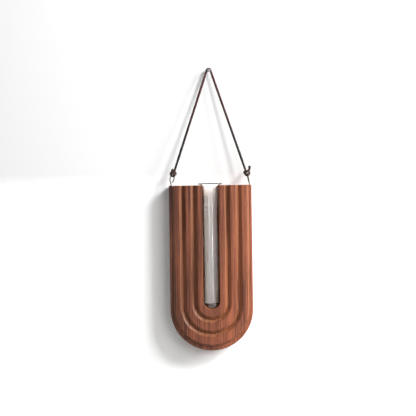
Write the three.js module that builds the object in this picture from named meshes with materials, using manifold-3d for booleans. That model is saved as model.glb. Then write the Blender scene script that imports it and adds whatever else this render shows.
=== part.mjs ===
// A hanging rack for one glass vase. A grooved wooden board holds a glass tube in a tall slot, and hangs on a
// nail by a leather cord that is tied to two screw eyes.
// Millimetres. +X is right, -Y is the front and +Z is up. The board's back lies on the upright plane Y = 0, and
// the origin is where the nail's axis meets that plane.

import * as THREE from "three";
import { mergeVertices } from "three/addons/utils/BufferGeometryUtils.js";
import Module from "manifold-3d";

const wasm = await Module();
wasm.setup();

// Board
const BOARD_HEIGHT = 200;
const BOARD_THICKNESS = 30;
const BOARD_DROP = 141.5; // from the nail's axis down to the board's top face
const RIB_COUNT = 3; // flat-fronted ribs from the slot to the outer slope
const RIB_WIDTH = 6.2; // flat front of one rib, on the arms
const RIB_FOOT_EXTRA = 3; // how much wider a rib gets at the foot
const GROOVE_WIDTH = 7.55; // across the mouth of a V groove
const GROOVE_DEPTH = 3.75;
const SHOULDER_WIDTH = 3.75; // slope outside the last rib
const LEDGE_WIDTH = 2.3; // low ledge round the outside, on the arms
const LEDGE_FOOT_EXTRA = 1.4; // how much wider the ledge gets at the foot
const EDGE_CHAMFER = 0.6; // round the board's front and back edges
const SLOT_CHAMFER = 0.3; // round the slot's front and back edges

// Glass tube and its seat in the board
const TUBE_DIAMETER = 20.6;
const TUBE_WALL = 1.2;
const TUBE_FLOOR = 5.5; // thickness of glass at the very bottom
const RIM_OVERHANG = 4.45; // how far the rim reaches outside the tube's wall
const RIM_CURVE = 3.2; // radius that turns the wall out into the rim
const BORE_CLEARANCE = 0.3; // between the tube and its bore, all round
const SLOT_GRIP = 0.35; // how much narrower than the tube the slot is on each side, so the tube can't tip out
const TUBE_FOOT_GAP = 0.9; // between the tube's bottom and the bore's floor
const SEAT_DEPTH = 1.9; // depth of the cone at the bore's mouth, which the rim's curve hangs in

// Screw eyes
const EYE_INSET = 1.9; // from the board's side to the shank's axis
const EYE_WIRE = 1.3;
const EYE_LOOP = 12; // outside diameter of the loop
const EYE_HEIGHT = 15.3; // top of the loop above the wood, measured up the leaning stem
const EYE_SHANK = 10; // length in the wood
const EYE_LEAN = THREE.MathUtils.degToRad(10.5); // towards the middle, in line with the cord's pull
const LEFT_EYE_TURN = THREE.MathUtils.degToRad(66); // from facing the front
const RIGHT_EYE_TURN = THREE.MathUtils.degToRad(88);
const PILOT_CLEARANCE = 0.3;
const PILOT_EXTRA_DEPTH = 0.5;

// Nail
const NAIL_SHANK = 1.4;
const NAIL_LENGTH = 30;
const NAIL_POINT = 3;
const NAIL_HEAD = 4.4;
const NAIL_HEAD_THICKNESS = 1;
const NAIL_STANDOFF = 6.8; // from the back plane to the underside of the head

// Cord
const CORD_DIAMETER = 2.6;
const CORD_STEPS_PER_POINT = 3;
const KNOT_STEPS_PER_POINT = 2;

// Facets
const FOOT_STEPS = 36; // round each half circle of the board's foot
const TUBE_FACETS = 40;
const WIRE_FACETS = 8;
const CORD_FACETS = 8;
const NAIL_FACETS = 24;

// Sizes that follow
const RIB_PITCH = RIB_WIDTH + GROOVE_WIDTH;
const SLOT_HALF = TUBE_DIAMETER / 2 - SLOT_GRIP;
const FIRST_RIB = SLOT_HALF + SLOT_CHAMFER;
const SHOULDER_RADIUS = FIRST_RIB + RIB_COUNT * RIB_PITCH - GROOVE_WIDTH;
const LEDGE_RADIUS = SHOULDER_RADIUS + SHOULDER_WIDTH;
const BOARD_HALF = LEDGE_RADIUS + LEDGE_WIDTH;
const BORE_RADIUS = TUBE_DIAMETER / 2 + BORE_CLEARANCE;
const MID_DEPTH = -BOARD_THICKNESS / 2;
const FRONT = -BOARD_THICKNESS;
const TOP = -BOARD_DROP;
const BOTTOM = TOP - BOARD_HEIGHT;
const PAST = 5; // how far a cutter runs past the face that it opens

// Heights of the centres of the half circles at the foot. They climb from the outline to the slot, because each
// rib is wider at the foot than on the arms.
const OUTLINE_CENTRE = BOTTOM + BOARD_HALF;
const SHOULDER_CENTRE = OUTLINE_CENTRE + LEDGE_FOOT_EXTRA;
const SLOT_CENTRE = SHOULDER_CENTRE + RIB_COUNT * RIB_FOOT_EXTRA;

const finishes = {
  wood: { color: 0x8a5a45, roughness: 0.55, metalness: 0 },
  glass: { color: 0xdfe8e6, roughness: 0.05, metalness: 0, transparent: true, opacity: 0.35 },
  plated: { color: 0xb9bab2, roughness: 0.25, metalness: 1 },
  steel: { color: 0x85878a, roughness: 0.4, metalness: 1 },
  leather: { color: 0x2a1a17, roughness: 0.6, metalness: 0 },
};

// Joining and cutting

function solidOf(geometry) {
  const bare = geometry.clone();
  bare.deleteAttribute("normal");
  bare.deleteAttribute("uv");
  const merged = mergeVertices(bare, 1e-4);
  const mesh = new wasm.Mesh({
    numProp: 3,
    vertProperties: merged.getAttribute("position").array,
    triVerts: new Uint32Array(merged.index.array),
  });
  return new wasm.Manifold(mesh);
}

function geometryOf(solid) {
  const mesh = solid.getMesh();
  const geometry = new THREE.BufferGeometry();
  geometry.setAttribute("position", new THREE.BufferAttribute(mesh.vertProperties, 3));
  geometry.setIndex(new THREE.BufferAttribute(mesh.triVerts, 1));
  const faceted = geometry.toNonIndexed();
  faceted.computeVertexNormals();
  return faceted;
}

function piece(name, finish, solid) {
  const mesh = new THREE.Mesh(geometryOf(solid), new THREE.MeshStandardMaterial(finish));
  mesh.name = name;
  return mesh;
}

// Shapes that several pieces share

function polygon(points) {
  return new THREE.Shape(points.map(([x, y]) => new THREE.Vector2(x, y)));
}

function disc(radius) {
  return new THREE.Shape().absarc(0, 0, radius, 0, 2 * Math.PI, false);
}

// A turned solid whose axis stands on +Z, from [radius, height] points that run upwards.
function turned(points, facets) {
  const profile = points.map(([radius, height]) => new THREE.Vector2(radius, height));
  return solidOf(new THREE.LatheGeometry(profile, facets).rotateX(Math.PI / 2));
}

// Points on an arc in a turned profile, both ends included; angles in degrees from the outward direction.
function arc(centreRadius, centreHeight, radius, from, to, steps) {
  return Array.from({ length: steps + 1 }, (_, i) => {
    const angle = THREE.MathUtils.degToRad(from + ((to - from) * i) / steps);
    return [centreRadius + radius * Math.cos(angle), centreHeight + radius * Math.sin(angle)];
  });
}

// A smooth strand through chosen points, which are spread over it evenly by number and not by length, so that
// tight bends keep their own points.
class Strand extends THREE.CatmullRomCurve3 {
  getUtoTmapping(u) {
    return u;
  }
}

function strand(points, diameter, facets, stepsPerPoint) {
  const geometry = new THREE.ExtrudeGeometry(disc(diameter / 2), {
    steps: (points.length - 1) * stepsPerPoint,
    curveSegments: facets / 2,
    bevelEnabled: false,
    extrudePath: new Strand(points),
  });
  return solidOf(geometry);
}

// The U that the board's edges and grooves follow: down one arm, half a circle round the foot, up the other arm.
class URoute extends THREE.Curve {
  constructor(radius, centre, depth) {
    super();
    Object.assign(this, { radius, centre, depth });
  }

  angle(t) {
    const turned = (t * (FOOT_STEPS + 2) - 1) / FOOT_STEPS;
    return Math.PI * THREE.MathUtils.clamp(turned, 0, 1);
  }

  getPoint(t, target = new THREE.Vector3()) {
    const angle = this.angle(t);
    const foot = this.centre - this.radius * Math.sin(angle);
    const atEnd = t === 0 || t === 1;
    return target.set(-this.radius * Math.cos(angle), this.depth, atEnd ? TOP + PAST : foot);
  }

  getTangent(t, target = new THREE.Vector3()) {
    const angle = this.angle(t);
    return target.set(Math.sin(angle), 0, -Math.cos(angle));
  }

  getUtoTmapping(u) {
    return u;
  }
}

// A cutter with a constant section that runs along a U. The section's points are [towards the front, outwards],
// from the line of the given radius at the given depth.
function cutAlongU(section, radius, centre, depth) {
  const geometry = new THREE.ExtrudeGeometry(polygon(section), {
    steps: FOOT_STEPS + 2,
    bevelEnabled: false,
    extrudePath: new URoute(radius, centre, depth),
  });
  return solidOf(geometry);
}

// A flat slab with the U outline, between two depths.
function uSlab(radius, centre, top, frontDepth, backDepth) {
  const outline = new THREE.Shape();
  outline.moveTo(radius, top);
  outline.lineTo(-radius, top);
  outline.absarc(0, centre, radius, Math.PI, 2 * Math.PI, false);
  outline.lineTo(radius, top);
  const geometry = new THREE.ExtrudeGeometry(outline, {
    depth: backDepth - frontDepth,
    curveSegments: FOOT_STEPS / 2,
    bevelEnabled: false,
  });
  return solidOf(geometry.rotateX(Math.PI / 2).translate(0, backDepth, 0));
}

// Board

// A V groove behind the rib of the given number, counted from the slot.
function vGroove(rib) {
  const radius = FIRST_RIB + rib * RIB_PITCH - GROOVE_WIDTH / 2;
  const centre = SLOT_CENTRE - rib * RIB_FOOT_EXTRA;
  const half = GROOVE_WIDTH / 2;
  const flare = (half * PAST) / GROOVE_DEPTH;
  const section = [
    [-GROOVE_DEPTH, 0],
    [PAST, -half - flare],
    [PAST, half + flare],
  ];
  return cutAlongU(section, radius, centre, FRONT);
}

// The slope outside the last rib, and the low ledge that it ends on.
function shoulder() {
  const flare = (SHOULDER_WIDTH * PAST) / GROOVE_DEPTH;
  const outside = SHOULDER_WIDTH + LEDGE_WIDTH + LEDGE_FOOT_EXTRA + PAST;
  const section = [
    [PAST, -flare],
    [-GROOVE_DEPTH, SHOULDER_WIDTH],
    [-GROOVE_DEPTH, outside],
    [PAST, outside],
  ];
  return cutAlongU(section, SHOULDER_RADIUS, SHOULDER_CENTRE, FRONT);
}

// A chamfer on an edge that follows a U. side is 1 on an outside edge and -1 on the slot's edge, and out is 1
// where the face looks to the front and -1 where it looks to the back.
function edgeChamfer(size, radius, centre, depth, side, out) {
  const section = [
    [-out * size, side * PAST],
    [-out * size, 0],
    [0, -side * size],
    [out * PAST, -side * size],
    [out * PAST, side * PAST],
  ];
  const turnsRight = side * out > 0;
  return cutAlongU(turnsRight ? section : section.reverse(), radius, centre, depth);
}

// The slot's parallel sides, which stand closer together than the tube is wide.
function slot() {
  return uSlab(SLOT_HALF, SLOT_CENTRE, TOP + PAST, FRONT - PAST, PAST);
}

// The round bore that the tube slides into from above, with the rim's seat at its mouth.
function tubeBore() {
  const profile = [
    ...arc(0, SLOT_CENTRE, BORE_RADIUS, -90, 0, 9),
    [BORE_RADIUS, TOP - SEAT_DEPTH],
    [BORE_RADIUS + SEAT_DEPTH + PAST, TOP + PAST],
    [0, TOP + PAST],
  ];
  profile[0][0] = 0;
  return turned(profile, TUBE_FACETS).translate([0, MID_DEPTH, 0]);
}

function pilotHole(side) {
  const radius = EYE_WIRE / 2 + PILOT_CLEARANCE;
  const depth = EYE_SHANK + PILOT_EXTRA_DEPTH;
  const profile = [
    [0, TOP - depth],
    [radius, TOP - depth],
    [radius, TOP + PAST],
    [0, TOP + PAST],
  ];
  return turned(profile, WIRE_FACETS * 2).translate([side * eyeX(), MID_DEPTH, 0]);
}

function makeBoard() {
  let solid = uSlab(BOARD_HALF, OUTLINE_CENTRE, TOP, FRONT, 0);
  const cutters = [slot(), tubeBore(), shoulder(), pilotHole(-1), pilotHole(1)];
  for (let rib = 1; rib < RIB_COUNT; rib += 1) {
    cutters.push(vGroove(rib));
  }
  cutters.push(edgeChamfer(EDGE_CHAMFER, BOARD_HALF, OUTLINE_CENTRE, FRONT + GROOVE_DEPTH, 1, 1));
  cutters.push(edgeChamfer(EDGE_CHAMFER, BOARD_HALF, OUTLINE_CENTRE, 0, 1, -1));
  cutters.push(edgeChamfer(SLOT_CHAMFER, SLOT_HALF, SLOT_CENTRE, FRONT, -1, 1));
  cutters.push(edgeChamfer(SLOT_CHAMFER, SLOT_HALF, SLOT_CENTRE, 0, -1, -1));
  for (const cutter of cutters) {
    solid = solid.subtract(cutter);
  }
  return piece("board", finishes.wood, solid);
}

// Glass tube, turned in one profile: up the outside, round the rim and down the inside.
function makeTube() {
  const outer = TUBE_DIAMETER / 2;
  const inner = outer - TUBE_WALL;
  const foot = SLOT_CENTRE - BORE_RADIUS + TUBE_FOOT_GAP;
  const curveFrom = TOP - SEAT_DEPTH;
  const rimTop = curveFrom + RIM_CURVE + TUBE_WALL;
  const lip = TUBE_WALL / 2;
  const profile = [
    ...arc(0, foot + outer, outer, -90, 0, 8),
    ...arc(outer + RIM_CURVE, curveFrom, RIM_CURVE, 180, 90, 5),
    ...arc(outer + RIM_OVERHANG - lip, rimTop - lip, lip, -90, 90, 4),
    ...arc(outer + RIM_CURVE, curveFrom, RIM_CURVE + TUBE_WALL, 90, 180, 6),
    ...arc(0, foot + TUBE_FLOOR + inner, inner, 0, -90, 8),
  ];
  profile[0][0] = 0;
  profile[profile.length - 1][0] = 0;
  return piece("glass_tube", finishes.glass, turned(profile, TUBE_FACETS).translate([0, MID_DEPTH, 0]));
}

// Screw eyes

function eyeX() {
  return BOARD_HALF - EYE_INSET;
}

// A point of an eye, from its place in the loop's own plane. The part above the wood leans towards the middle.
function eyePoint(side, turn, across, up) {
  const x = across * Math.cos(turn);
  const y = -across * Math.sin(turn);
  const lean = up > 0 ? EYE_LEAN : 0;
  const outward = x * Math.cos(lean) - up * Math.sin(lean);
  const rise = up * Math.cos(lean) + x * Math.sin(lean);
  return new THREE.Vector3(side * (eyeX() + outward), MID_DEPTH + y, TOP + rise);
}

// One wire: the shank in the wood, a stem, and a loop that is bent round until its end nearly meets the stem.
function makeEye(name, side, turn) {
  const radius = (EYE_LOOP - EYE_WIRE) / 2;
  const centre = EYE_HEIGHT - EYE_WIRE / 2 - radius;
  const stem = centre - radius;
  const path = [
    [0, -EYE_SHANK],
    [0, -EYE_SHANK / 2],
    [0, 0],
    [0, stem * 0.3],
    [radius * 0.06, stem * 0.62],
    ...arc(0, centre, radius, -50, 245, 16),
  ];
  const points = path.map(([across, up]) => eyePoint(side, turn, across, up));
  return piece(name, finishes.plated, strand(points, EYE_WIRE, WIRE_FACETS, 2));
}

// Nail, turned about its own axis and then laid along Y with its point to the back.
function makeNail() {
  const shank = NAIL_SHANK / 2;
  const head = NAIL_HEAD / 2;
  const rounding = NAIL_HEAD_THICKNESS * 0.3;
  const tip = NAIL_STANDOFF - NAIL_LENGTH;
  const outside = NAIL_STANDOFF + NAIL_HEAD_THICKNESS;
  const profile = [
    [0, tip],
    [shank, tip + NAIL_POINT],
    [shank, NAIL_STANDOFF],
    [head, NAIL_STANDOFF],
    [head, outside - rounding],
    [head - rounding, outside],
    [0, outside],
  ];
  return piece("hanging_nail", finishes.steel, turned(profile, NAIL_FACETS).rotate([90, 0, 0]));
}

// Cord. Its two legs run straight from the knots to the nail, and it bends over the nail behind the head.
const CORD_POINTS = [
  [-42.5, -14.5, -120.8],
  [-37.11, -13.26, -104.57],
  [-31.35, -11.93, -87.2],
  [-25.59, -10.6, -69.83],
  [-19.83, -9.27, -52.46],
  [-14.06, -7.94, -35.09],
  [-8.3, -6.61, -17.72],
  [-4.67, -5.77, -6.77],
  [-2.18, -5.2, 0.72],
  [-1.7, -5.2, 1.55],
  [-0.93, -5.2, 2.1],
  [0, -5.2, 2.3],
  [0.93, -5.2, 2.1],
  [1.7, -5.2, 1.55],
  [2.18, -5.2, 0.72],
  [4.67, -5.77, -6.77],
  [8.3, -6.61, -17.72],
  [14.06, -7.94, -35.09],
  [19.83, -9.27, -52.46],
  [25.59, -10.6, -69.83],
  [31.35, -11.93, -87.2],
  [37.11, -13.26, -104.57],
  [42.5, -14.5, -120.8],
];

// Each knot is a half hitch: down beside the eye's wire, under it and up again, round behind the leg, across the
// front of the eye, and back through its own loop. Points are [outwards, up the leg, to the front] from the middle
// of the eye's wire. The two ends differ a little in how the last turn lies.
const KNOT_POINTS = [
  [-0.8, 6.6, 0],
  [-0.8, 5.7, 0],
  [-1.15, 3.9, -0.1],
  [-2.05, 1.9, -0.2],
  [-2.6, -0.15, 0.05],
  [-1.9, -1.9, 0.15],
  [0, -2.45, 0],
  [1.75, -1.85, -0.3],
  [2.55, -0.2, -0.7],
  [2.35, 1.4, -1.3],
  [1.2, 2.5, -2.2],
  [-0.8, 2.9, -2.5],
  [-2.6, 2.5, -1.6],
];
const LEFT_END = [
  [-3.3, 1.6, 0.1],
  [-3, 0.6, 1.8],
  [-1.8, 0.15, 3.6],
  [0.1, 1, 4.65],
  [1.6, 1.9, 4],
  [2.1, 2.4, 1.9],
  [1.5, 2.6, 0.2],
  [1.35, 2.45, -1.2],
  [1.8, 2.6, -2.4],
  [2.2, 3.4, -3.2],
  [2.1, 4.7, -3.1],
  [1.8, 6, -2.6],
];
const RIGHT_END = [
  [-3.2, 1.7, 0.2],
  [-2.9, 1.05, 2.1],
  [-1.8, 1.35, 4.1],
  [0.1, 1.95, 4.9],
  [1.65, 2.25, 4.1],
  [2.15, 2.6, 2.2],
  [1.5, 2.6, 0.2],
  [1.5, 2.4, -1.3],
  [2.3, 2.4, -2.6],
  [3.6, 3.1, -3],
  [4.9, 5, -2.3],
  [5.85, 7.3, -1.1],
];
const LEG_LEAN = THREE.MathUtils.degToRad(18.35);
const LEG_SLOPE = 0.073; // how far a leg nears the back plane for each millimetre along it

function makeCord() {
  const points = CORD_POINTS.map(([x, y, z]) => new THREE.Vector3(x, y, z));
  return piece("cord", finishes.leather, strand(points, CORD_DIAMETER, CORD_FACETS, CORD_STEPS_PER_POINT));
}

function knotPoint(side, turn, [outward, along, forward]) {
  const wire = eyePoint(side, turn, 0, EYE_HEIGHT - EYE_WIRE / 2);
  const x = outward * Math.cos(LEG_LEAN) - along * Math.sin(LEG_LEAN);
  const z = outward * Math.sin(LEG_LEAN) + along * Math.cos(LEG_LEAN);
  return new THREE.Vector3(side * x, along * LEG_SLOPE - forward, z).add(wire);
}

// The strands press into each other where they cross, so the knot is joined from overlapping lengths of strand.
function makeKnot(name, side, turn, end) {
  const points = [...KNOT_POINTS, ...end].map((place) => knotPoint(side, turn, place));
  const length = 5;
  let solid = null;
  for (let from = 0; from < points.length - 1; from += length - 1) {
    const run = points.slice(from, from + length);
    const part = strand(run, CORD_DIAMETER, CORD_FACETS, KNOT_STEPS_PER_POINT);
    solid = solid ? solid.add(part) : part;
  }
  return piece(name, finishes.leather, solid);
}

const rack = new THREE.Group();
rack.add(makeBoard());
rack.add(makeEye("screw_eye_left", -1, LEFT_EYE_TURN));
rack.add(makeEye("screw_eye_right", 1, RIGHT_EYE_TURN));

const vase = new THREE.Group();
vase.add(makeTube());

const sling = new THREE.Group();
sling.add(makeCord());
sling.add(makeKnot("knot_left", -1, LEFT_EYE_TURN, LEFT_END));
sling.add(makeKnot("knot_right", 1, RIGHT_EYE_TURN, RIGHT_END));

const object = new THREE.Group();
object.add(makeNail(), sling, rack, vase);

export default object;
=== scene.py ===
# %% [markdown]
# # A wooden rack for one glass vase, hung on a cord
#
# The rack is a board with U-shaped grooves, a glass tube that stands in a slot, two screw eyes and a
# leather cord over a nail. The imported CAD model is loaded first. It fixes every size and how the parts
# move, and each piece made below takes the place of one CAD node and rides on the same body.
#
# The CAD box is kept straight after loading, because the finished looks may not grow out of it.

# %% Load the frame
import math

import bpy
import numpy as np
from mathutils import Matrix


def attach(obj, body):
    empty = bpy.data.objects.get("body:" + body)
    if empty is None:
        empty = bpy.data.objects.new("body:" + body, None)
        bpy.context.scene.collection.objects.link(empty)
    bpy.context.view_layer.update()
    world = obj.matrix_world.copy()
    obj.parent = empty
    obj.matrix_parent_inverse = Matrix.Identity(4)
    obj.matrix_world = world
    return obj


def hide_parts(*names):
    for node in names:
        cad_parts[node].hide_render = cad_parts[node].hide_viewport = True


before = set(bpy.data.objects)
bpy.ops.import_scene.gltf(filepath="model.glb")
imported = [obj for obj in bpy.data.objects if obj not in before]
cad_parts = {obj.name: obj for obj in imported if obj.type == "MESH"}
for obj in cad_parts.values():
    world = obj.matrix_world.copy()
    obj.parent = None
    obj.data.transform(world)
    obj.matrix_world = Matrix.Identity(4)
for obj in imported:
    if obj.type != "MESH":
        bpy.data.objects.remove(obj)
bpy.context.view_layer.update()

# %% [markdown]
# ## Camera
#
# The picture is taken straight on with a long lens, so the board's sides stay parallel. A camera can be
# placed by eye, but here it is worked out: one pixel covers 1.207 mm on the board's front face, and the
# lens follows from that and from the distance. The board leans 0.8 degrees in the picture, which is the
# camera's own roll, because a thing that hangs on a nail hangs upright. Sizes are written in millimetres
# all through this lesson, and MM turns them into Blender's metres.

# %% Camera
MM = 0.001
SENSOR = 36
FRAME_PIXELS = 416
PIXEL_ON_FACE = 1.207 * MM
FRONT_FACE = -30 * MM
LENS_TO_FACE = 1.3
AIM_X = -3.0 * MM
AIM_Z = -169.0 * MM
ROLL = math.radians(-0.8)

camera_data = bpy.data.cameras.new("camera")
camera_data.sensor_width = SENSOR
camera_data.lens = SENSOR * LENS_TO_FACE / (FRAME_PIXELS * PIXEL_ON_FACE)
camera = bpy.data.objects.new("camera", camera_data)
camera.location = (AIM_X, FRONT_FACE - LENS_TO_FACE, AIM_Z)
camera.rotation_euler = (math.pi / 2, 0, 0)
camera.rotation_euler.rotate_axis("Z", ROLL)
bpy.context.scene.collection.objects.link(camera)
bpy.context.scene.camera = camera
print(f"lens {camera_data.lens:.1f} mm at {LENS_TO_FACE} m")

# %% [markdown]
# ## Curves through chosen points
#
# A cord, a knot and a bent wire are all a round section carried along a line. The line could be a Bezier
# curve object, but a curve worked out as an array can be measured, reused and turned into a mesh in one go.
# A Catmull-Rom spline passes through every chosen point, and its centripetal form makes no loops in tight
# bends.

# %% Spline


def spline(points, steps):
    """Centripetal Catmull-Rom curve through the points, with the given steps in each span.

    Each span is a cubic between two points. Its end slopes are those of a parabola through three
    neighbours, with the square root of each chord as the spacing; past both ends the line is continued
    straight.
    """
    p = np.asarray(points, float)
    p = np.vstack([2 * p[0] - p[1], p, 2 * p[-1] - p[-2]])
    gap = np.sqrt(np.linalg.norm(np.diff(p, axis=0), axis=1))[:, None]
    step = np.diff(p, axis=0) / gap
    wide = (p[2:] - p[:-2]) / (gap[1:] + gap[:-1])
    start = (step[:-2] - wide[:-1] + step[1:-1]) * gap[1:-1]
    end = (step[1:-1] - wide[1:] + step[2:]) * gap[1:-1]
    t = np.linspace(0, 1, steps, endpoint=False)[None, :, None]
    a, b = p[1:-2, None], p[2:-1, None]
    m, n = start[:, None], end[:, None]
    curve = a + m * t + (3 * (b - a) - 2 * m - n) * t**2 + (2 * (a - b) + m + n) * t**3
    return np.vstack([curve.reshape(-1, 3), p[-2]])


# %% [markdown]
# ## From arrays to a mesh
#
# Every new piece is a grid of points, so one function gives it faces, closes its ends and makes sure that
# the faces look outwards. All faces are smooth, and edges sharper than 40 degrees are marked sharp, which
# keeps crisp arrises without any modifier. The same function names the body that the piece rides on and
# the CAD node that it stands for.

# %% Grid mesh
SHARP_ANGLE = math.radians(40)


def grid_piece(name, grid, body, node, poles=None):
    """Closed mesh of a grid of points [row, column] in mm, whose columns close on themselves.

    Face (r, c) joins point (r, c) to its neighbours in the next row and the next column. The first and last
    row are closed by one flat face each, or by a fan to a pole. The sum of each face's corner times the
    cross product of the next two is six times the volume; where it is negative the faces are turned round.
    """
    rows, columns = grid.shape[:2]
    ring = np.arange(columns)
    beside = (ring + 1) % columns
    row = np.arange(rows - 1)[:, None] * columns
    below = row + columns
    quads = np.stack([row + ring, row + beside, below + beside, below + ring], axis=-1).reshape(-1, 4)
    points = grid.reshape(-1, 3)
    last = (rows - 1) * columns
    if poles is None:
        ends = [ring[::-1].tolist(), (last + ring).tolist()]
    else:
        first_pole = np.full(columns, len(points))
        first_fan = np.stack([first_pole, beside, ring], axis=1)
        last_fan = np.stack([first_pole + 1, last + ring, last + beside], axis=1)
        ends = np.vstack([first_fan, last_fan]).tolist()
        points = np.vstack([points, poles])
    corner = (points - points.mean(axis=0))[quads]
    halves = np.cross(corner[:, 1], corner[:, 2]) + np.cross(corner[:, 2], corner[:, 3])
    faces = quads.tolist() + ends
    if (corner[:, 0] * halves).sum() < 0:
        faces = [face[::-1] for face in faces]
    mesh = bpy.data.meshes.new(name)
    mesh.from_pydata(points * MM, [], faces)
    mesh.polygons.foreach_set("use_smooth", np.ones(len(faces), bool))
    mesh.set_sharp_from_angle(angle=SHARP_ANGLE)
    piece = bpy.data.objects.new(name + "_look", mesh)
    bpy.context.scene.collection.objects.link(piece)
    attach(piece, body)
    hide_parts(node)
    print(f"{piece.name}: {len(mesh.vertices)} points, {len(faces)} faces")
    return piece


# %% [markdown]
# ## A round strand along a line
#
# A curve object with a bevel depth gives a tube too, but its ends are cut square. Here each ring is worked
# out, so the ends of a lace or a wire get a small rounding, and a lace can be made thicker where it isn't
# pulled.

# %% Strand
SIDES = 20
END_RINGS = 6


def strand(line, radius, rounding=(0.3, 0.3)):
    """Grid of a round tube along a line: one row for each ring, one column for each side.

    A ring is its centre plus radius times (cosine of the angle times a side vector, plus sine times the
    vector square to it and to the line). The side vector is handed from ring to ring and only tilted, so
    the tube never twists. Each end is rounded on a quarter circle: 0 is a square cut and 1 would be half a
    ball. Rings of the line that are nearer to an end than its rounding are left out.
    """
    along = np.concatenate([[0], np.cumsum(np.linalg.norm(np.diff(line, axis=0), axis=1))])
    tangent = np.gradient(line, axis=0)
    tangent /= np.linalg.norm(tangent, axis=1)[:, None]
    bend = np.linspace(0, math.pi / 2, END_RINGS)[:, None]
    first, last = (share * radius for share in rounding)
    kept = (along > first * 1.05) & (along < along[-1] - last * 1.05)
    start = line[0] + tangent[0] * first * (1 - np.sin(bend[::-1]))
    end = line[-1] - tangent[-1] * last * (1 - np.sin(bend))
    centre = np.vstack([start, line[kept], end])
    start_tangent = np.repeat(tangent[:1], END_RINGS, 0)
    end_tangent = np.repeat(tangent[-1:], END_RINGS, 0)
    tangent = np.vstack([start_tangent, tangent[kept], end_tangent])
    shrink = 1 - np.cos(bend[:, 0])
    start_size = 1 - rounding[0] * shrink[::-1]
    end_size = 1 - rounding[1] * shrink
    size = radius * np.concatenate([start_size, np.ones(kept.sum()), end_size])
    side = np.cross(tangent[0], [0.31, 0.17, 0.93])
    carried = []
    for direction in tangent:
        side = side - direction * (side @ direction)
        side = side / np.linalg.norm(side)
        carried.append(side)
    side = np.array(carried)[:, None]
    across = np.cross(tangent[:, None], side)
    angle = np.linspace(0, 2 * math.pi, SIDES, endpoint=False)[None, :, None]
    return centre[:, None] + size[:, None, None] * (np.cos(angle) * side + np.sin(angle) * across)


def swollen(grid, swell):
    """The strand with each ring moved to its centre plus its own swell times the way out from the centre."""
    centre = grid.mean(axis=1, keepdims=True)
    return centre + (grid - centre) * swell[:, None, None]


# %% [markdown]
# ## The cord's route
#
# The cord is one length of round leather, 2.6 mm thick. It is tied to the left eye, runs straight up to the
# nail, bends over it and comes down to the right eye. It is taut under the rack's weight, so there is no
# slack to simulate: the route is a short list of points, the same that the CAD tube follows. The bend is as
# tight as the picture shows it, once round a thin nail.
#
# Its two ends run a little way into the knots, so no gap shows where the CAD solids keep one. The legs are
# an eighth thicker than the cord is at the knots and over the nail, where the lace is pulled thin.

# %% Cord
CORD = 2.6
INTO_KNOT = 0.8
LEG_SWELL = 1.13
LEG_HEIGHTS = [-119, -108, -8, -3]
OVER_NAIL = (0, -5.2, 2.3)
HALF_ROUTE = [
    (-42.5, -14.5, -120.8),
    (-37.11, -13.26, -104.57),
    (-31.35, -11.93, -87.2),
    (-25.59, -10.6, -69.83),
    (-19.83, -9.27, -52.46),
    (-14.06, -7.94, -35.09),
    (-8.3, -6.61, -17.72),
    (-4.67, -5.77, -6.77),
    (-2.18, -5.2, 0.72),
    (-1.7, -5.2, 1.55),
    (-0.93, -5.2, 2.1),
]
route = HALF_ROUTE + [OVER_NAIL] + [(-x, y, z) for x, y, z in HALF_ROUTE[::-1]]
cord_line = spline(route, 6)
first_step = cord_line[0] - cord_line[1]
into_knot = first_step / np.linalg.norm(first_step) * INTO_KNOT
cord_line[0] += into_knot
cord_line[-1] += into_knot * (-1, 1, 1)
cord_grid = strand(cord_line, CORD / 2)
leg_swell = np.interp(cord_grid.mean(axis=1)[:, 2], LEG_HEIGHTS, [1, LEG_SWELL, LEG_SWELL, 1])
cord = grid_piece("cord", swollen(cord_grid, leg_swell), "sling", "cord")

# %% [markdown]
# ## Places on a screw eye
#
# The knots and the eyes share their sizes, so these come first. An eye is drawn flat, as across and up from
# where it enters the wood. The same drawing serves both eyes: each is turned by its own angle, as a hand
# leaves it after the last twist, and both stems are bent towards the middle by the pull of the cord.

# %% Eye sizes
BOARD_TOP = -141.5
MID_DEPTH = -15
EYE_X = 48.1
EYE_WIRE = 1.3
EYE_LOOP = 12
EYE_HEIGHT = 15.3
EYE_SHANK = 10
EYE_LEAN = math.radians(10.5)
LEFT_TURN = math.radians(66)
RIGHT_TURN = math.radians(88)


def eye_points(places, side, turn):
    """Places in a screw eye's own plane, (across, up) from where it enters the wood, put into the frame.

    The plane is turned about the stem: x is across times the cosine of the turn and y is less across times
    its sine. Above the wood x and up are then turned by the lean, which takes the stem towards the middle.
    """
    across, up = np.asarray(places, float).T
    x, y = across * math.cos(turn), -across * math.sin(turn)
    lean = np.where(up > 0, EYE_LEAN, 0)
    outward = x * np.cos(lean) - up * np.sin(lean)
    rise = up * np.cos(lean) + x * np.sin(lean)
    return np.stack([side * (EYE_X + outward), MID_DEPTH + y, BOARD_TOP + rise], axis=1)


for side, turn in ((-1, LEFT_TURN), (1, RIGHT_TURN)):
    print("top of an eye in mm:", eye_points([(0, EYE_HEIGHT)], side, turn)[0].round(1).tolist())

# %% [markdown]
# ## Knots
#
# Each end is tied with a half hitch. The cord goes down beside the eye's wire, under it and up, round
# behind the leg, across the front of the eye and back through its own loop, and the rest is left as a short
# tail. A knot could be a lump with a noise texture, but the strands are what the eye looks for, so it is
# the same spline and tube again. The points are given from the middle of the eye's wire: outwards, up the
# leg and to the front. A cut tail is not under strain, so it is a little thicker than the strands that are
# pulled tight.

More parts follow.
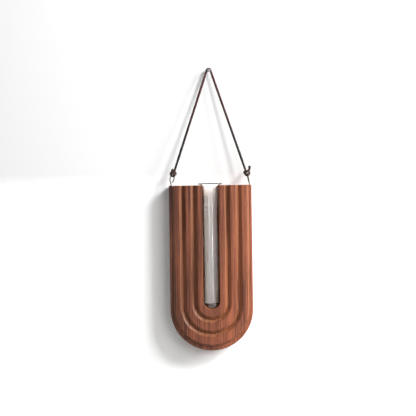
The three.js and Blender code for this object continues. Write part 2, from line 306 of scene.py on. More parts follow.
# %% Knots
LEG_LEAN = math.radians(18.35)
LEG_SLOPE = 0.073
TAIL_SWELL = 1.14
TAIL_RINGS = [-26, -12]
KNOT = [
    (-0.8, 6.6, 0),
    (-0.8, 5.7, 0),
    (-1.15, 3.9, -0.1),
    (-2.05, 1.9, -0.2),
    (-2.6, -0.15, 0.05),
    (-1.9, -1.9, 0.15),
    (0, -2.45, 0),
    (1.75, -1.85, -0.3),
    (2.55, -0.2, -0.7),
    (2.35, 1.4, -1.3),
    (1.2, 2.5, -2.2),
    (-0.8, 2.9, -2.5),
    (-2.6, 2.5, -1.6),
]
LEFT_END = [
    (-3.3, 1.6, 0.1),
    (-3, 0.6, 1.8),
    (-1.8, 0.15, 3.6),
    (0.1, 1, 4.65),
    (1.6, 1.9, 4),
    (2.1, 2.4, 1.9),
    (1.5, 2.6, 0.2),
    (1.35, 2.45, -1.2),
    (1.8, 2.6, -2.4),
    (2.2, 3.4, -3.2),
    (2.1, 4.7, -3.1),
    (1.8, 6, -2.6),
]
RIGHT_END = [
    (-3.2, 1.7, 0.2),
    (-2.9, 1.05, 2.1),
    (-1.8, 1.35, 4.1),
    (0.1, 1.95, 4.9),
    (1.65, 2.25, 4.1),
    (2.15, 2.6, 2.2),
    (1.5, 2.6, 0.2),
    (1.5, 2.4, -1.3),
    (2.3, 2.4, -2.6),
    (3.6, 3.1, -3),
    (4.8, 5, -2.3),
    (5.6, 7.3, -1.1),
]


def make_knot(name, side, turn, end):
    """One knot: its points turned by the leg's lean, sloped back with the leg and hung on the eye's wire.

    The tail's swell grows evenly between two rings, which are counted back from the cut end.
    """
    outward, along, forward = np.array(KNOT + end, float).T
    x = outward * math.cos(LEG_LEAN) - along * math.sin(LEG_LEAN)
    z = outward * math.sin(LEG_LEAN) + along * math.cos(LEG_LEAN)
    points = np.stack([side * x, along * LEG_SLOPE - forward, z], axis=1)
    points += eye_points([(0, EYE_HEIGHT - EYE_WIRE / 2)], side, turn)
    grid = strand(spline(points, 8), CORD / 2)
    tail_swell = np.interp(np.arange(len(grid)) - len(grid), TAIL_RINGS, [1, TAIL_SWELL])
    return grid_piece(name, swollen(grid, tail_swell), "sling", name)


knots = [
    make_knot("knot_left", -1, LEFT_TURN, LEFT_END),
    make_knot("knot_right", 1, RIGHT_TURN, RIGHT_END),
]

# %% [markdown]
# ## Screw eyes
#
# A screw eye is one wire: a shank that is screwed into the wood, a short stem and a loop that nearly
# closes. It could be a ring joined to a rod, but on the real thing the wire runs on without a seam and the
# loop's end stops just short of the stem, so one bent line gives the right shape.

# %% Screw eyes
LOOP_START = -50
LOOP_END = 245
LOOP_POINTS = 17


def make_eye(name, side, turn):
    """One bent wire: shank, stem and an arc of radius times cosine and sine about the loop's centre."""
    radius = (EYE_LOOP - EYE_WIRE) / 2
    centre = EYE_HEIGHT - EYE_WIRE / 2 - radius
    stem = centre - radius
    bend = np.radians(np.linspace(LOOP_START, LOOP_END, LOOP_POINTS))
    loop = np.stack([radius * np.cos(bend), centre + radius * np.sin(bend)], axis=1)
    rise = [(0, -EYE_SHANK), (0, -EYE_SHANK / 2), (0, 0), (0, stem * 0.3), (radius * 0.06, stem * 0.62)]
    line = spline(eye_points(np.vstack([rise, loop]), side, turn), 6)
    grid = strand(line, EYE_WIRE / 2, rounding=(0.6, 0.8))
    return grid_piece(name, grid, "rack", name)


eyes = [make_eye("screw_eye_left", -1, LEFT_TURN), make_eye("screw_eye_right", 1, RIGHT_TURN)]

# %% [markdown]
# ## Rounded profiles
#
# The board, the tube and the nail are each a flat profile, drawn once and then carried along a path or
# turned about an axis. Real arrises are never knife sharp: a sanded edge or a fire-polished rim is round,
# and that rounding catches a thin line of light. A Bevel modifier could add it, but a profile can be
# rounded before it is used, with its own radius at each corner.

# %% Profile rounding


def rounded(corners, steps=5, guard=0.35):
    """Closed profile with rounded corners, from rows of (u, v, radius, extra...).

    At each corner the arc touches both sides at radius over the tangent of half the corner's angle, and its
    points are turned about the arc's centre, which lies on the corner's bisector. Each straight side also
    gets a point just inside both of its ends, so that the smooth shading of an arc stays on the arc. The
    extra columns keep the corner's value along its arc and pass evenly from one corner to the next along a
    side.
    """
    corners = np.asarray(corners, float)
    here, radius, extra = corners[:, :2], corners[:, 2], corners[:, 3:]
    back = np.roll(here, 1, axis=0) - here
    ahead = np.roll(here, -1, axis=0) - here
    back_length = np.linalg.norm(back, axis=1)[:, None]
    ahead_length = np.linalg.norm(ahead, axis=1)[:, None]
    back, ahead = back / back_length, ahead / ahead_length
    half = np.arccos(np.clip((back * ahead).sum(1), -1, 1)) / 2
    reach = radius / np.tan(half)
    bisector = back + ahead
    bisector /= np.maximum(np.linalg.norm(bisector, axis=1), 1e-9)[:, None]
    middle = here + bisector * (radius / np.sin(half))[:, None]
    first = here + back * reach[:, None] - middle
    last = here + ahead * reach[:, None] - middle
    share = np.linspace(0, 1, steps + 1)[None, :, None]
    sweep = (math.pi - 2 * half)[:, None, None]
    turned_first = first[:, None] * np.sin((1 - share) * sweep)
    turned_last = last[:, None] * np.sin(share * sweep)
    arc = middle[:, None] + (turned_first + turned_last) / np.sin(sweep)
    held = np.repeat(extra[:, None], steps + 1, axis=1)
    profile = []
    for i in range(len(here)):
        j = (i + 1) % len(here)
        if radius[i] > 0:
            profile.append(np.hstack([arc[i], held[i]]))
        else:
            profile.append(np.hstack([here[i : i + 1], extra[i : i + 1]]))
        start = profile[-1][-1]
        end = np.hstack([arc[j, 0] if radius[j] > 0 else here[j], extra[j]])
        side = np.linalg.norm(end[:2] - start[:2])
        if side > 4 * guard:
            cut = guard / side
            profile.append(np.stack([start + (end - start) * cut, end + (start - end) * cut]))
    return np.vstack(profile)


# %% [markdown]
# ## Board
#
# The board is cut from one plank. Its front carries two V grooves that follow the slot down one arm, round
# the foot and up the other, a third slope outside them, and a low ledge at the edge. Cutting these with
# booleans would give long thin faces, so the skin is made directly: one closed profile, from the slot's
# wall over the ribs and grooves to the board's side and back, is carried along a U.
#
# Each point of the profile keeps its own centre height for the half circle at the foot. The centres climb
# from the outline to the slot by 3 mm for each rib, so every rib is wider at the foot than on the arms.

# %% Board profile
DEPTH = 30
BOARD_HALF = 50
SLOT_HALF = 9.95
SLOT_CHAMFER = 0.55
BORE = 10.6
BORE_POINTS = 15
FIRST_RIB = 10.25
RIB = 6.2
GROOVE = 7.55
GROOVE_DEPTH = 3.75
LEDGE_RADIUS = 46.6
EDGE_CHAMFER = 0.6
SLOT_ARRIS = 0.2
ARRIS = 0.35
VALLEY = 0.3
EDGE_ARRIS = 0.4
OUTLINE_CENTRE = -291.5
SHOULDER_CENTRE = OUTLINE_CENTRE + 1.4
CENTRE_CLIMB = 3
SLOT_CENTRE = SHOULDER_CENTRE + 3 * CENTRE_CLIMB

profile = [
    (SLOT_HALF + SLOT_CHAMFER, 0, SLOT_ARRIS, SLOT_CENTRE),
    (SLOT_HALF, -SLOT_CHAMFER, SLOT_ARRIS, SLOT_CENTRE),
]
reach = math.sqrt(BORE**2 - SLOT_HALF**2)
for depth in np.linspace(reach, -reach, BORE_POINTS):
    profile.append((math.sqrt(BORE**2 - depth**2), MID_DEPTH + depth, 0, SLOT_CENTRE))
profile.append((SLOT_HALF, SLOT_CHAMFER - DEPTH, SLOT_ARRIS, SLOT_CENTRE))
profile.append((SLOT_HALF + SLOT_CHAMFER, -DEPTH, SLOT_ARRIS, SLOT_CENTRE))
inner = FIRST_RIB + RIB
for number in (1, 2):
    centre = SLOT_CENTRE - CENTRE_CLIMB * number
    profile.append((inner, -DEPTH, ARRIS, centre))
    profile.append((inner + GROOVE / 2, GROOVE_DEPTH - DEPTH, VALLEY, centre))
    profile.append((inner + GROOVE, -DEPTH, ARRIS, centre))
    inner += GROOVE + RIB
profile.append((inner, -DEPTH, ARRIS, SHOULDER_CENTRE))
profile.append((LEDGE_RADIUS, GROOVE_DEPTH - DEPTH, VALLEY, SHOULDER_CENTRE))
profile.append((BOARD_HALF - EDGE_CHAMFER, GROOVE_DEPTH - DEPTH, EDGE_ARRIS, OUTLINE_CENTRE))
profile.append((BOARD_HALF, GROOVE_DEPTH + EDGE_CHAMFER - DEPTH, EDGE_ARRIS, OUTLINE_CENTRE))
profile.append((BOARD_HALF, -EDGE_CHAMFER, EDGE_ARRIS, OUTLINE_CENTRE))
profile.append((BOARD_HALF - EDGE_CHAMFER, 0, EDGE_ARRIS, OUTLINE_CENTRE))
section = rounded(profile)
print(f"board profile: {len(profile)} corners, {len(section)} points")

# %% [markdown]
# ## Carrying the profile along the U
#
# The rows run down the left arm, round the foot in equal steps and up the right arm. Near the top the
# profile draws in on a quarter circle, which rounds the edge to the top face, and the slot's wall opens
# into the cone that the tube's rim hangs in. The two top faces are flat caps.

# %% Board
TOP_ROUND = 0.18
TOP_STEPS = 6
SEAT_DEPTH = 1.9
BELOW_TOP = np.array([0.5, 1, 1.5, SEAT_DEPTH, 6])
FOOT_STEPS = 120


def make_board():
    """Skin of the board as a grid: row by row along the U, column by column round the profile.

    On an arm a point lies at plus or minus its distance from the middle line. On the foot it lies at its
    own centre height, less the same distance turned through the half circle. The profile's inward direction
    is the turned tangent of the closed profile, scaled by the share of the top rounding.
    """
    out, deep, centre = section.T
    ahead = np.roll(section[:, :2], -1, axis=0) - section[:, :2]
    ahead /= np.linalg.norm(ahead, axis=1)[:, None]
    mean = ahead + np.roll(ahead, 1, axis=0)
    mean /= np.linalg.norm(mean, axis=1)[:, None]
    area = (out * np.roll(deep, -1) - np.roll(out, -1) * deep).sum()
    inward = np.stack([-mean[:, 1], mean[:, 0]], axis=1) * np.sign(area)
    bend = np.linspace(math.pi / 2, 0, TOP_STEPS)
    heights = np.concatenate([BOARD_TOP - TOP_ROUND * (1 - np.sin(bend)), BOARD_TOP - BELOW_TOP])
    shrink = np.concatenate([TOP_ROUND * (1 - np.cos(bend)), np.zeros(len(BELOW_TOP))])
    arm_out = out + shrink[:, None] * inward[:, 0]
    arm_deep = deep + shrink[:, None] * inward[:, 1]
    cone = BORE + np.maximum(heights - BOARD_TOP + SEAT_DEPTH, 0)[:, None]
    seat = np.sqrt(np.maximum(cone**2 - (arm_deep - MID_DEPTH) ** 2, 0))
    slot_side = (out < SLOT_HALF + 1)[None, :] & (heights > BOARD_TOP - SEAT_DEPTH)[:, None]
    arm_out = np.where(slot_side, np.maximum(arm_out, seat), arm_out)
    arm_high = np.repeat(heights[:, None], len(out), axis=1)
    turn = np.linspace(0, math.pi, FOOT_STEPS + 1)[:, None]
    foot_high = centre - out * np.sin(turn)
    left = np.stack([-arm_out, arm_deep, arm_high], axis=-1)
    foot = np.stack([-out * np.cos(turn), np.repeat(deep[None], len(turn), 0), foot_high], axis=-1)
    right = (left * (-1, 1, 1))[::-1]
    return np.vstack([left, foot, right])


board = grid_piece("board", make_board(), "rack", "board")

# %% [markdown]
# ## Glass tube
#
# The tube is a turned shape, so it is a profile of radius and height that goes round an axis. Blender's
# Spin and Screw tools do that too, but turning the profile as an array needs one multiplication. The
# profile runs up the outside, round the flared rim and down the inside, and the bottom is thicker than the
# wall, as on a tube that was closed in a flame. It starts and ends on the axis, where a fan of triangles
# meets in one point.

# %% Glass tube
TUBE_RADIUS = 10.3
TUBE_WALL = 1.2
TUBE_FLOOR = 3.4
FLOOR_RISE = 3.5
TUBE_FOOT = SLOT_CENTRE - BORE + 0.9
RIM_RADIUS = 14.75
RIM_CURVE = 3.2


def arc(radius, height, size, start, end, steps):
    """Rows of (radius, height) on an arc about a point of the profile, angles in degrees from outwards."""
    angle = np.radians(np.linspace(start, end, steps + 1))
    return np.stack([radius + size * np.cos(angle), height + size * np.sin(angle)], axis=1)


def turned(profile, columns):
    """Grid of a profile turned about +Z: radius times cosine and sine of the angle, and the height."""
    angle = np.linspace(0, 2 * math.pi, columns, endpoint=False)[None, :]
    radius, height = profile[:, :1], profile[:, 1:]
    return np.stack([radius * np.cos(angle), radius * np.sin(angle), height + 0 * angle], axis=-1)


curve_from = BOARD_TOP - SEAT_DEPTH
rim_top = curve_from + RIM_CURVE + TUBE_WALL
rim_half = TUBE_WALL / 2
floor_curve = arc(0, 0, 1, 0, -90, 24)[:-1] * (TUBE_RADIUS - TUBE_WALL, FLOOR_RISE)
tube_profile = np.vstack(
    [
        arc(0, TUBE_FOOT + TUBE_RADIUS, TUBE_RADIUS, -90, 0, 24)[1:],
        arc(TUBE_RADIUS + RIM_CURVE, curve_from, RIM_CURVE, 180, 90, 12),
        arc(RIM_RADIUS - rim_half, rim_top - rim_half, rim_half, -90, 90, 10),
        arc(TUBE_RADIUS + RIM_CURVE, curve_from, RIM_CURVE + TUBE_WALL, 90, 180, 14),
        floor_curve + (0, TUBE_FOOT + TUBE_FLOOR + FLOOR_RISE),
    ]
)
tube_grid = turned(tube_profile, 96) + np.array([0, MID_DEPTH, 0])
tube_poles = np.array([(0, MID_DEPTH, TUBE_FOOT), (0, MID_DEPTH, TUBE_FOOT + TUBE_FLOOR)])
tube = grid_piece("glass_tube", tube_grid, "vase", "glass_tube", tube_poles)

# %% [markdown]
# ## Nail
#
# The nail is turned as well, and then laid down along Y by swapping two columns. A plain rod would do from
# afar, but the head is what shows: a flat disc with a soft edge, which a die has pressed, on a thin shank
# with a cut point.

# %% Nail
NAIL_RADIUS = 0.7
NAIL_TIP = 23.2
HEAD_RADIUS = 2.2
HEAD_BACK = -6.8
HEAD_FACE = -7.8
FILLET = 0.1
BACK_ROUND = 0.25
FACE_ROUND = 0.4

nail_profile = np.vstack(
    [
        [(0.4, 21.5), (NAIL_RADIUS, 20.2), (NAIL_RADIUS, 20), (NAIL_RADIUS, HEAD_BACK + FILLET)],
        arc(NAIL_RADIUS + FILLET, HEAD_BACK + FILLET, FILLET, 180, 270, 3)[1:],
        [(1.9, HEAD_BACK)],
        arc(HEAD_RADIUS - BACK_ROUND, HEAD_BACK - BACK_ROUND, BACK_ROUND, 90, 0, 4),
        arc(HEAD_RADIUS - FACE_ROUND, HEAD_FACE + FACE_ROUND, FACE_ROUND, 0, -75, 6)[1:],
        [(1.0, HEAD_FACE + 0.01)],
    ]
)
nail_grid = turned(nail_profile, 48)[..., [0, 2, 1]]
nail_poles = np.array([(0, NAIL_TIP, 0), (0, HEAD_FACE, 0)])
nail = grid_piece("hanging_nail", nail_grid, "nail", "hanging_nail", nail_poles)

# %% [markdown]
# ## Colours and nodes
#
# Blender's colour sockets are linear, and colours seen on a screen or in a picture are sRGB, so every hex
# value goes through one function. A second small function adds a node with its settings and links.
#
# Some nodes have several sockets of one name, so these are given by number. A Map Range takes the value at
# 0, the range it is read over at 1 and 2, and the range it is turned into at 3 and 4. A Mix takes the share
# at 0. Its numbers are at 2 and 3, with the result at output 0, and its colours are at 6 and 7, with the
# result at output 2.

# %% Node helpers


def linear(code):
    """sRGB hex to linear RGBA: up to 0.04045 a share of 12.92, above it ((c + 0.055) / 1.055) to the 2.4."""
    value = np.array([int(code[i : i + 2], 16) / 255 for i in (1, 3, 5)])
    value = np.where(value <= 0.04045, value / 12.92, ((value + 0.055) / 1.055) ** 2.4)
    return (*value.tolist(), 1.0)


def add(tree, kind, inputs=None, **settings):
    """A new node. Inputs are given by name or number, each a value or the output that links to it."""
    made = tree.nodes.new(kind)
    for name, value in settings.items():
        setattr(made, name, value)
    for name, value in (inputs or {}).items():
        if isinstance(value, bpy.types.NodeSocket):
            tree.links.new(value, made.inputs[name])
        else:
            made.inputs[name].default_value = value
    return made


def new_material(name, *pieces):
    """A node material on the pieces. Gives its node tree and its Principled shader."""
    material = bpy.data.materials.new(name)
    material.use_nodes = True
    for piece in pieces:
        piece.data.materials.clear()
        piece.data.materials.append(material)
    print(f"{name}: on", ", ".join(piece.name for piece in pieces))
    return material.node_tree, material.node_tree.nodes["Principled BSDF"]


def per_metre(*sizes):
    """Scale of a pattern from its real sizes in mm: one over each size in metres."""
    return [1 / (size * MM) for size in sizes]


# %% [markdown]
# ## Stained hardwood: the grain
#
# The board is a hardwood with long straight grain, stained red-brown and sealed with a thin satin lacquer.
# The grain lies in the wood and not on its surface, so the pattern reads Object coordinates, and a rib, a
# groove and the end grain on top all cut through the same streaks. An image wrapped round the board would
# smear on the slopes. Noise that is stretched along Z doesn't.
#
# Four sizes are mixed: broad figure, streaks of about a millimetre, pores, which are drawn about twice as
# coarse as real ones so that they show, and growth rings a few millimetres apart. Each row gives the sizes
# along X, Y and Z in mm, a shift that keeps the four apart, the noise's detail and its roughness.

# %% Wood grain
GRAIN = {
    "figure": ((7, 7, 120), (0, 0, 0), 2, 0.5),
    "streaks": ((1, 1, 60), (3, 1, 2), 3, 0.6),
    "pores": ((0.55, 0.55, 7), (1, 5, 4), 2, 0.55),
    "rings": ((1.3, 3, 110), (7, 2, 1), 2, 0.5),
}
tree, shader = new_material("stained hardwood", board)
where = add(tree, "ShaderNodeTexCoord").outputs["Object"]
grain = {}
for name, (sizes, shift, detail, roughness) in GRAIN.items():
    place = add(tree, "ShaderNodeMapping", {"Vector": where, "Scale": per_metre(*sizes), "Location": shift})
    settings = {"Vector": place.outputs[0], "Scale": 1, "Detail": detail, "Roughness": roughness}
    grain[name] = add(tree, "ShaderNodeTexNoise", settings).outputs["Fac"]
print("grain patterns:", ", ".join(grain))

# %% [markdown]
# ## Stained hardwood: flats, slopes and end grain
#
# Wood looks different where it is cut at another angle. The slopes of the grooves are found by their depth:
# they lie below the flats of the ribs, and above the ledge and the valleys. The end grain on top is found
# by the direction of the face, which points up there. Each comes out as a share that the colour and the
# gloss can use. Painted masks could do this too, but these follow the shape by themselves.

# %% Cut faces
FLATS_END = (-29.9 * MM, -29.4 * MM)
LEDGE_BEGINS = (-26.8 * MM, -26.4 * MM)

depth = add(tree, "ShaderNodeSeparateXYZ", {0: where}).outputs["Y"]
below_flats = {0: depth, 1: FLATS_END[0], 2: FLATS_END[1], 3: 0.0, 4: 0.55}
below_flats = add(tree, "ShaderNodeMapRange", below_flats).outputs[0]
above_ledge = {0: depth, 1: LEDGE_BEGINS[0], 2: LEDGE_BEGINS[1], 3: 1.0, 4: 0.0}
above_ledge = add(tree, "ShaderNodeMapRange", above_ledge).outputs[0]
slope = {0: below_flats, 1: above_ledge}
slope = add(tree, "ShaderNodeMath", slope, operation="MULTIPLY").outputs[0]
normal = add(tree, "ShaderNodeNewGeometry").outputs["Normal"]
upright = add(tree, "ShaderNodeSeparateXYZ", {0: normal}).outputs["Z"]
upright = add(tree, "ShaderNodeMath", {0: upright}, operation="ABSOLUTE").outputs[0]
end_grain = add(tree, "ShaderNodeMapRange", {0: upright, 1: 0.85, 2: 0.97, 3: 0.0, 4: 1.0}).outputs[0]

# %% [markdown]
# ## Stained hardwood: the stain
#
# The stain gathers in the open pores and the rings, so they show as thin dark lines that run up the board,
# between paler streaks. The cut slopes took less of it than the flats, so they are more golden. The ground
# is painted paler towards the right edge and a little darker towards the top: that is painted light and
# painted shade, where the lamps on the right light the board more. The colour is laid on as a finisher
# would see it: a ground between two browns, then the streaks, the slopes, the rings and the pores, each
# with its own share. The rings are fainter on the end grain.

# %% Wood colour
GROUND = ("#3f1a11", "#b06140")
STREAK, SLOPE, RING, PORE = "#ab6443", "#9c6b4c", "#34150c", "#26100a"

tone = add(tree, "ShaderNodeMapRange", {0: grain["figure"], 1: 0.36, 2: 0.64, 3: 0.0, 4: 0.45}).outputs[0]
# Painted light: the ground is paler towards the right edge, with painted shade towards the top.
painted_light_slant = {0: where, 1: (1, 0, -0.1)}
painted_light_slant = add(tree, "ShaderNodeVectorMath", painted_light_slant, operation="DOT_PRODUCT").outputs["Value"]
pale = add(tree, "ShaderNodeMapRange", {0: painted_light_slant, 1: 5 * MM, 2: 52 * MM, 3: -0.12, 4: 0.5}).outputs[0]
tone = add(tree, "ShaderNodeMath", {0: tone, 1: pale}, operation="ADD", use_clamp=True).outputs[0]
streak = add(tree, "ShaderNodeMapRange", {0: grain["streaks"], 1: 0.4, 2: 0.64, 3: 0.0, 4: 0.5}).outputs[0]
ring = add(tree, "ShaderNodeMapRange", {0: grain["rings"], 1: 0.53, 2: 0.6, 3: 0.0, 4: 0.65}).outputs[0]
calm = add(tree, "ShaderNodeMapRange", {0: end_grain, 1: 0.0, 2: 1.0, 3: 1.0, 4: 0.25}).outputs[0]
ring = add(tree, "ShaderNodeMath", {0: ring, 1: calm}, operation="MULTIPLY").outputs[0]
pore = add(tree, "ShaderNodeMapRange", {0: grain["pores"], 1: 0.58, 2: 0.74, 3: 0.0, 4: 0.6}).outputs[0]

stain = {0: tone, 6: linear(GROUND[0]), 7: linear(GROUND[1])}
stain = add(tree, "ShaderNodeMix", stain, data_type="RGBA").outputs[2]
for share, colour in ((streak, STREAK), (slope, SLOPE), (ring, RING), (pore, PORE)):
    stain = add(tree, "ShaderNodeMix", {0: share, 6: stain, 7: linear(colour)}, data_type="RGBA").outputs[2]
tree.links.new(stain, shader.inputs["Base Color"])

# %% [markdown]
# ## Stained hardwood: the lacquer
#
# A thin satin lacquer leaves a soft gloss that varies with the streaks, and it follows the pores, which
# stay open as fine dents. It reflects a little less than the shader's default, which stands for a thick
# clear varnish. End grain soaks the lacquer up, so it is matt. The dents are too fine for the mesh, so they
# are a bump of about a tenth of a millimetre.

# %% Wood gloss and pores
rough = add(tree, "ShaderNodeMapRange", {0: grain["streaks"], 1: 0.3, 2: 0.7, 3: 0.46, 4: 0.36}).outputs[0]
rough = add(tree, "ShaderNodeMix", {0: end_grain, 2: rough, 3: 0.85}).outputs[0]
tree.links.new(rough, shader.inputs["Roughness"])
shader.inputs["Specular IOR Level"].default_value = 0.36
relief = add(tree, "ShaderNodeMath", {0: grain["streaks"], 1: pore}, operation="SUBTRACT").outputs[0]
bump = add(tree, "ShaderNodeBump", {"Height": relief, "Strength": 0.25, "Distance": 0.12 * MM})
tree.links.new(bump.outputs[0], shader.inputs["Normal"])
print("nodes in the wood:", len(tree.nodes))

# %% [markdown]
# ## Glass
#
# The tube is borosilicate laboratory glass, drawn and closed in a flame: clear, colourless and smooth. Its
# walls are modelled with a real thickness, so refraction at the two surfaces gives the dark lines along its
# sides by itself, and nothing has to be painted. Glass could have no roughness at all, but a trace of it,
# too small to blur anything, lets the thin reflection of a narrow lamp come out clean instead of grainy.

# %% Glass
tree, shader = new_material("borosilicate glass", tube)
shader.inputs["Base Color"].default_value = linear("#ffffff")
shader.inputs["Roughness"].default_value = 0.08
shader.inputs["IOR"].default_value = 1.473
shader.inputs["Transmission Weight"].default_value = 1.0

# %% [markdown]
# ## Metals
#
# The screw eyes are steel wire with a thin nickel plating that has gone dull, a dark grey with a hint of
# olive. The nail is plain wire steel, paler, and rougher where the hammer and the die have marked it. A
# metal's colour is its reflection, so the roughness decides how soft it looks, and the plating is darker
# than fresh nickel would be. Each row gives the pieces, the colour, the size of the marks in mm, the
# noise's detail and the highest roughness.

# %% Metals
METALS = {
    "nickel-plated steel": (eyes, "#4a4c3e", 0.5, 2, 0.5),
    "drawn steel wire": ([nail], "#8d8f90", 0.8, 3, 0.55),
}
for name, (pieces, colour, size, detail, roughest) in METALS.items():
    tree, shader = new_material(name, *pieces)
    shader.inputs["Metallic"].default_value = 1.0
    shader.inputs["Base Color"].default_value = linear(colour)
    where = add(tree, "ShaderNodeTexCoord").outputs["Object"]
    place = add(tree, "ShaderNodeMapping", {"Vector": where, "Scale": per_metre(size, size, size)})
    marks = {"Vector": place.outputs[0], "Scale": 1, "Detail": detail}
    marks = add(tree, "ShaderNodeTexNoise", marks).outputs["Fac"]
    rough = add(tree, "ShaderNodeMapRange", {0: marks, 1: 0.3, 2: 0.7, 3: 0.35, 4: roughest})
    tree.links.new(rough.outputs[0], shader.inputs["Roughness"])

# %% [markdown]
# ## Leather cord
#
# The cord is round leather lace, dyed dark brown and waxed. Up close it has fine wrinkles across it and
# small lighter scuffs, and the wax gives long soft highlights. The noise is drawn at half a millimetre,
# coarser than real grain, so that it still shows. Towards the nail the colour turns redder and lighter,
# and the knots are painted a lighter brown, a painted highlight for the light that their strands catch,
# so the colour changes along the cord's height.

# %% Leather
DYE, SCUFFED, NEAR_NAIL, KNOT_HIGHLIGHT = "#0c0605", "#21140f", "#431b1a", "#4a332c"

tree, shader = new_material("waxed leather lace", cord, *knots)
where = add(tree, "ShaderNodeTexCoord").outputs["Object"]
place = add(tree, "ShaderNodeMapping", {"Vector": where, "Scale": per_metre(0.5, 0.5, 0.5)})
wrinkles = {"Vector": place.outputs[0], "Scale": 1, "Detail": 4, "Roughness": 0.6}
wrinkles = add(tree, "ShaderNodeTexNoise", wrinkles).outputs["Fac"]
place = {"Vector": where, "Scale": per_metre(2.5, 2.5, 6), "Location": (2, 2, 2)}
place = add(tree, "ShaderNodeMapping", place)
scuffs = {"Vector": place.outputs[0], "Scale": 1, "Detail": 3}
scuffs = add(tree, "ShaderNodeTexNoise", scuffs).outputs["Fac"]
worn = add(tree, "ShaderNodeMapRange", {0: scuffs, 1: 0.45, 2: 0.75, 3: 0.0, 4: 0.6}).outputs[0]
height = add(tree, "ShaderNodeSeparateXYZ", {0: where}).outputs["Z"]
# Towards the nail the colour turns redder and lighter.
bent = add(tree, "ShaderNodeMapRange", {0: height, 1: -100 * MM, 2: -20 * MM, 3: 0.0, 4: 1.0}).outputs[0]
# Painted highlight: the knots are painted a lighter brown for the light that their strands catch.
knot_highlight = add(tree, "ShaderNodeMapRange", {0: height, 1: -118 * MM, 2: -122 * MM, 3: 0.0, 4: 0.7}).outputs[0]
dye = linear(DYE)
for share, colour in ((worn, SCUFFED), (bent, NEAR_NAIL), (knot_highlight, KNOT_HIGHLIGHT)):
    dye = add(tree, "ShaderNodeMix", {0: share, 6: dye, 7: linear(colour)}, data_type="RGBA").outputs[2]
tree.links.new(dye, shader.inputs["Base Color"])
shader.inputs["Specular IOR Level"].default_value = 0.3
rough = add(tree, "ShaderNodeMapRange", {0: wrinkles, 1: 0.3, 2: 0.7, 3: 0.5, 4: 0.65})
tree.links.new(rough.outputs[0], shader.inputs["Roughness"])
bump = add(tree, "ShaderNodeBump", {"Height": wrinkles, "Strength": 0.35, "Distance": 0.1 * MM})
tree.links.new(bump.outputs[0], shader.inputs["Normal"])

# %% [markdown]
# ## Backdrop
#
# The rack hangs in front of a plain white cove: an upright sheet that curves into a floor far below. It
# could be two flat sheets that meet in a corner, but then a line would show. It is one grid, a profile
# carried sideways, and it stands 0.3 mm behind the board.

# %% Backdrop
GAP = 0.3 * MM
FLOOR = -1.3
COVE = 0.4
COVE_TOP = 1.6
COVE_FRONT = -4.0
COVE_HALF = 3.0

bend = np.linspace(0, math.pi / 2, 24)
curve = np.stack([GAP - COVE * (1 - np.cos(bend)), FLOOR + COVE * (1 - np.sin(bend))], axis=1)
cove_profile = np.vstack([[(GAP, COVE_TOP)], curve, [(COVE_FRONT, FLOOR)]])
cove_points = [(x, y, z) for y, z in cove_profile for x in (-COVE_HALF, COVE_HALF)]
index = np.arange(len(cove_profile) - 1) * 2
cove_faces = np.stack([index + 2, index + 3, index + 1, index], axis=1).tolist()
cove_mesh = bpy.data.meshes.new("cove")
cove_mesh.from_pydata(cove_points, [], cove_faces)
cove_mesh.polygons.foreach_set("use_smooth", np.ones(len(index), bool))
cove = bpy.data.objects.new("cove", cove_mesh)
bpy.context.scene.collection.objects.link(cove)
print("cove faces look to", [round(v, 2) for v in cove_mesh.polygons[0].normal])

# %% [markdown]
# ## The backdrop's paper
#
# To the camera the paper's colour is graded: brighter than any real paper low down, where the rack's soft
# shadow falls, and plainer higher up and to the right, where more light reaches it. That brings it to an
# even white without more light, and it is never so bright that it eats into the thin cord. Through the
# glass it is brighter still and a little warm: painted light, for the light that the glass lets through
# to the paper and the warm light that the wood throws into the slot. In reflections, and in the light
# that it gives back to the rack, it is a plain pale grey.
#
# Seen from behind the paper is clear, so that the rack's back can be looked at too. Very short rays of soft
# light pass through it, so that daylight reaches the board's back, which lies against it.

# %% Paper
SHORT = 2 * MM
PALE_GREY = "#d2d2d0"
# Painted light: the paper as seen through the glass, brighter and warm.
PAINTED_LIGHT_BEHIND_GLASS = (1.66, 1.55, 1.44, 1)

tree, _ = new_material("matt white paper", cove)
tree.nodes.clear()
ray = add(tree, "ShaderNodeLightPath").outputs
where = add(tree, "ShaderNodeTexCoord").outputs["Object"]
where = add(tree, "ShaderNodeSeparateXYZ", {0: where}).outputs
upper = add(tree, "ShaderNodeMapRange", {0: where["Z"], 1: -165 * MM, 2: -125 * MM, 3: 1.27, 4: 0.9})
right = add(tree, "ShaderNodeMapRange", {0: where["X"], 1: -10 * MM, 2: 60 * MM, 3: 1.0, 4: 0.86})
clean = add(tree, "ShaderNodeMath", {0: upper.outputs[0], 1: right.outputs[0]}, operation="MULTIPLY")
white = linear(PALE_GREY)
for kind, colour in (("Is Camera Ray", clean.outputs[0]), ("Is Transmission Ray", PAINTED_LIGHT_BEHIND_GLASS)):
    white = add(tree, "ShaderNodeMix", {0: ray[kind], 6: white, 7: colour}, data_type="RGBA").outputs[2]
matt = add(tree, "ShaderNodeBsdfDiffuse", {"Color": white})
near = add(tree, "ShaderNodeMath", {0: ray["Ray Length"], 1: SHORT}, operation="LESS_THAN").outputs[0]
soft = {0: ray["Is Diffuse Ray"], 1: ray["Is Shadow Ray"]}
soft = add(tree, "ShaderNodeMath", soft, operation="MAXIMUM").outputs[0]
near = add(tree, "ShaderNodeMath", {0: near, 1: soft}, operation="MULTIPLY").outputs[0]
behind = add(tree, "ShaderNodeNewGeometry").outputs["Backfacing"]
clear = add(tree, "ShaderNodeMath", {0: near, 1: behind}, operation="MAXIMUM").outputs[0]
open_air = add(tree, "ShaderNodeBsdfTransparent")
both = add(tree, "ShaderNodeMixShader", {0: clear, 1: matt.outputs[0], 2: open_air.outputs[0]})
add(tree, "ShaderNodeOutputMaterial", {"Surface": both.outputs[0]})
print("nodes in the paper:", len(tree.nodes))

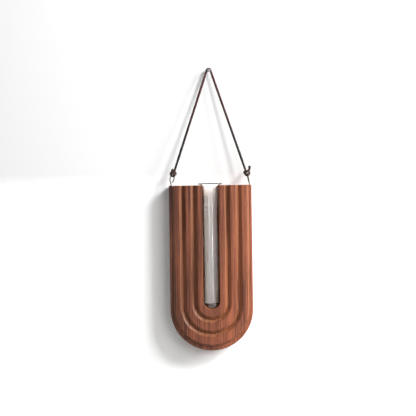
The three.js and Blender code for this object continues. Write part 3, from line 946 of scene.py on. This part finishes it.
# %% [markdown]
# ## Lamps
#
# The main light is a soft lamp high on the right, because the shadow falls to the left and a little down,
# and the slopes that face right are the bright ones. Its direction is worked out from where that shadow
# starts. A second lamp stands further round to the right and lights those slopes more than the flats. A
# broad weak lamp in front lightens the shadow, and it is left out of reflections, so that it lays no grey
# sheen on the lacquer. A narrow upright lamp is the other way about: it lights nothing, and only draws the
# thin bright line down the glass. A faint lamp behind lights the back in the views from there, and the cove
# keeps it off the front.
#
# Blender's lamps are set in watts, which say little about how bright a thing looks. Here each lamp has the
# value that a white surface facing it would reach. Distance, width and height are in metres.

# %% Lamps
from mathutils import Vector

TARGET = Vector((0, -0.015, -0.22))


def lamp(name, direction, distance, value, width, height):
    """Rectangular area lamp that looks at the middle of the board.

    Its power is the value times pi squared and the square of its distance.
    """
    data = bpy.data.lights.new(name, "AREA")
    data.shape = "RECTANGLE"
    data.energy = value * math.pi**2 * distance**2
    data.size = width
    data.size_y = height
    made = bpy.data.objects.new(name, data)
    toward = -Vector(direction).normalized()
    made.location = TARGET - toward * distance
    made.rotation_mode = "QUATERNION"
    made.rotation_quaternion = toward.to_track_quat("-Z", "Y")
    bpy.context.scene.collection.objects.link(made)
    print(f"{name} lamp: {data.energy:.1f} W")
    return made


lamp("key", (36, -37, 33), distance=1.4, value=0.68, width=0.3, height=0.4)
lamp("side", (1, -0.38, 0.5), distance=1.5, value=0.95, width=0.4, height=0.7)
front_lamp = lamp("front", (0.38, -0.9, 0.25), distance=1.6, value=0.21, width=0.7, height=0.7)
front_lamp.visible_glossy = False
strip_lamp = lamp("strip", (0.39, -0.92, -0.02), distance=1.6, value=0.46, width=0.06, height=0.7)
strip_lamp.visible_diffuse = False
lamp("back", (0.25, 0.9, 0.4), distance=1.7, value=0.3, width=1.0, height=1.0)

# %% [markdown]
# ## Light from all around
#
# In a pale studio light comes from every side, so the world fills in what the lamps leave dark. It is weak
# as a light, but to the camera, and through the glass, it is plain white, so the picture has no grey beyond
# the edges of the cove.

# %% World
AROUND = 0.27
SEEN = 1.0

world = bpy.data.worlds.new("pale studio")
bpy.context.scene.world = world
world.use_nodes = True
tree = world.node_tree
tree.nodes.clear()
ray = add(tree, "ShaderNodeLightPath").outputs
seen = {0: ray["Is Camera Ray"], 1: ray["Is Transmission Ray"]}
seen = add(tree, "ShaderNodeMath", seen, operation="MAXIMUM").outputs[0]
level = add(tree, "ShaderNodeMapRange", {0: seen, 1: 0.0, 2: 1.0, 3: AROUND, 4: SEEN}).outputs[0]
sky = add(tree, "ShaderNodeBackground", {"Color": linear("#ffffff"), "Strength": level})
add(tree, "ShaderNodeOutputWorld", {"Surface": sky.outputs[0]})
bpy.context.scene.view_settings.view_transform = "Standard"
print("light from all around:", AROUND)
